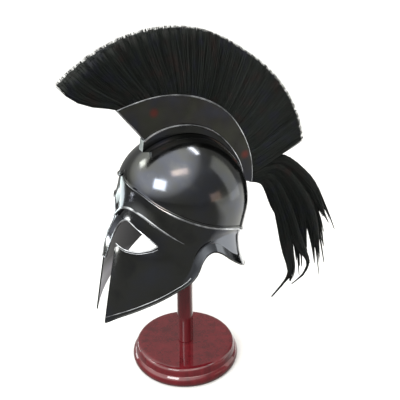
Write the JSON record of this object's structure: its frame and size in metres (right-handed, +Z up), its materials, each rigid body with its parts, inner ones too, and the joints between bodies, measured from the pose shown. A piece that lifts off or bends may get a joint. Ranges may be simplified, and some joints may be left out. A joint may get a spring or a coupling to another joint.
{
  "type": "corinthian helmet on a display stand",
  "caption": "Corinthian helmet with a fore-and-aft crest, a black horsehair brush and tail, held up on a turned wooden display stand.",
  "frame": {"origin": "centre of the stand's underside, on the table", "axes": "+Z up along the stand's post, -Y the way the helmet faces, +X the wearer's left"},
  "size_m": [0.2124, 0.5287, 0.6179],
  "materials": {
    "steel": "polished black lacquered steel",
    "hair": "black horsehair",
    "wood": "glossy red-brown lacquer"
  },
  "bodies": {
    "root": {"stand_base": "wood", "stand_post": "wood", "stand_cap": "wood", "skull_bowl": "steel", "face_mask": "steel", "crest_plinth": "steel", "crest_box": "steel", "crest_brush": "hair", "crest_tail": "hair"}
  },
  "joints": []
}
